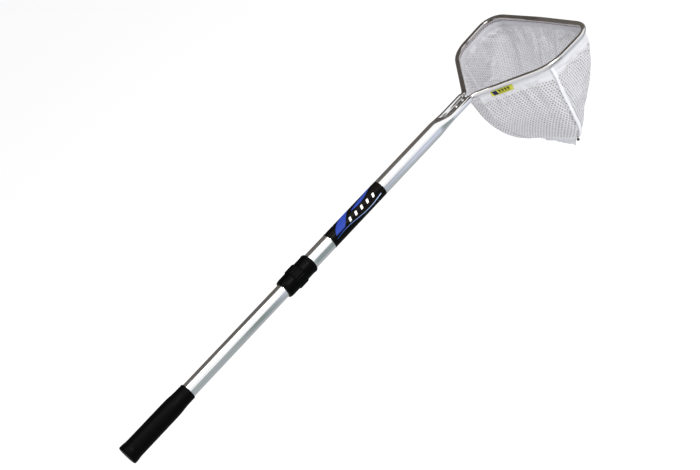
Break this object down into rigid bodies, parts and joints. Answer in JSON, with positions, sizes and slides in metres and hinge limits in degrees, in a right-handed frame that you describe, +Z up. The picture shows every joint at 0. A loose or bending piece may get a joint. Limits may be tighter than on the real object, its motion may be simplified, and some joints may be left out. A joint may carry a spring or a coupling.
{
  "type": "telescopic scoop net",
  "caption": "Hand-held scoop net: a telescopic aluminium pole with a rubber grip and twist lock, and a deep knitted bag hung from a bent hoop.",
  "frame": {"origin": "middle of the hand grip, on the axis of the pole", "axes": "+X along the pole from the grip to the hoop, +Z up out of the hoop's mouth, the bag hangs to -Z, the hoop lies in the XY plane"},
  "size_m": [0.9125, 0.2204, 0.1764],
  "materials": {
    "grip_rubber": "black moulded rubber, fine texture, matte",
    "lower_aluminium": "drawn and anodised, satin, fine lengthwise lines",
    "plug_plastic": "moulded, matte",
    "pin_steel": "plain pin",
    "collet_nylon": "natural nylon",
    "ring_nylon": "natural nylon",
    "lock_black": "black moulded plastic, semi-matte",
    "upper_aluminium": "drawn and anodised, satin, fine lengthwise lines",
    "label_film": "printed film, black with blue shapes, glossy",
    "rivet_aluminium": "plain",
    "hoop_aluminium": "bright drawn, light scratches",
    "cord_white": "braided cord",
    "hem_white": "folded woven edge",
    "net_white": "knitted net, white",
    "tape_white": "woven tape, white",
    "tag_yellow": null,
    "bead_grey": "moulded, dark grey"
  },
  "bodies": {
    "handle": {"grip": "grip_rubber", "lower_tube": "lower_aluminium", "guide_plug": "plug_plastic", "plug_pin": "pin_steel"},
    "collet": {"lock_collet": "collet_nylon"},
    "net_section": {"lock_body": "lock_black", "upper_tube": "upper_aluminium", "label_sleeve": "label_film", "tail_rivets": "rivet_aluminium", "hoop": "hoop_aluminium", "hem_cord": "cord_white", "hem_band": "hem_white", "rear_net": "net_white", "front_net": "net_white", "seam_tape_right": "tape_white", "seam_tape_left": "tape_white", "bottom_flap": "hem_white", "sewn_tag": "tag_yellow", "drain_bead": "bead_grey"},
    "ring": {"compression_ring": "ring_nylon"},
    "nut": {"lock_nut": "lock_black"}
  },
  "joints": [
    {"name": "section_slide", "type": "slide", "parent": "handle", "child": "collet", "axis": [1, 0, 0], "range_m": [-0.186, 0.058]},
    {"name": "section_swivel", "type": "hinge", "parent": "collet", "child": "net_section", "pos_m": [0.25, 0, 0], "axis": [1, 0, 0], "continuous": true},
    {"name": "ring_advance", "type": "slide", "parent": "net_section", "child": "ring", "axis": [1, 0, 0], "range_m": [-0.0022, 0]},
    {"name": "nut_twist", "type": "hinge", "parent": "ring", "child": "nut", "pos_m": [0.25, 0, 0], "axis": [1, 0, 0], "range_deg": [-270, 0]}
  ],
  "couplings": [
    {"joint": "nut_twist", "follows": "ring_advance", "rad_per_m": 2094.4}
  ]
}
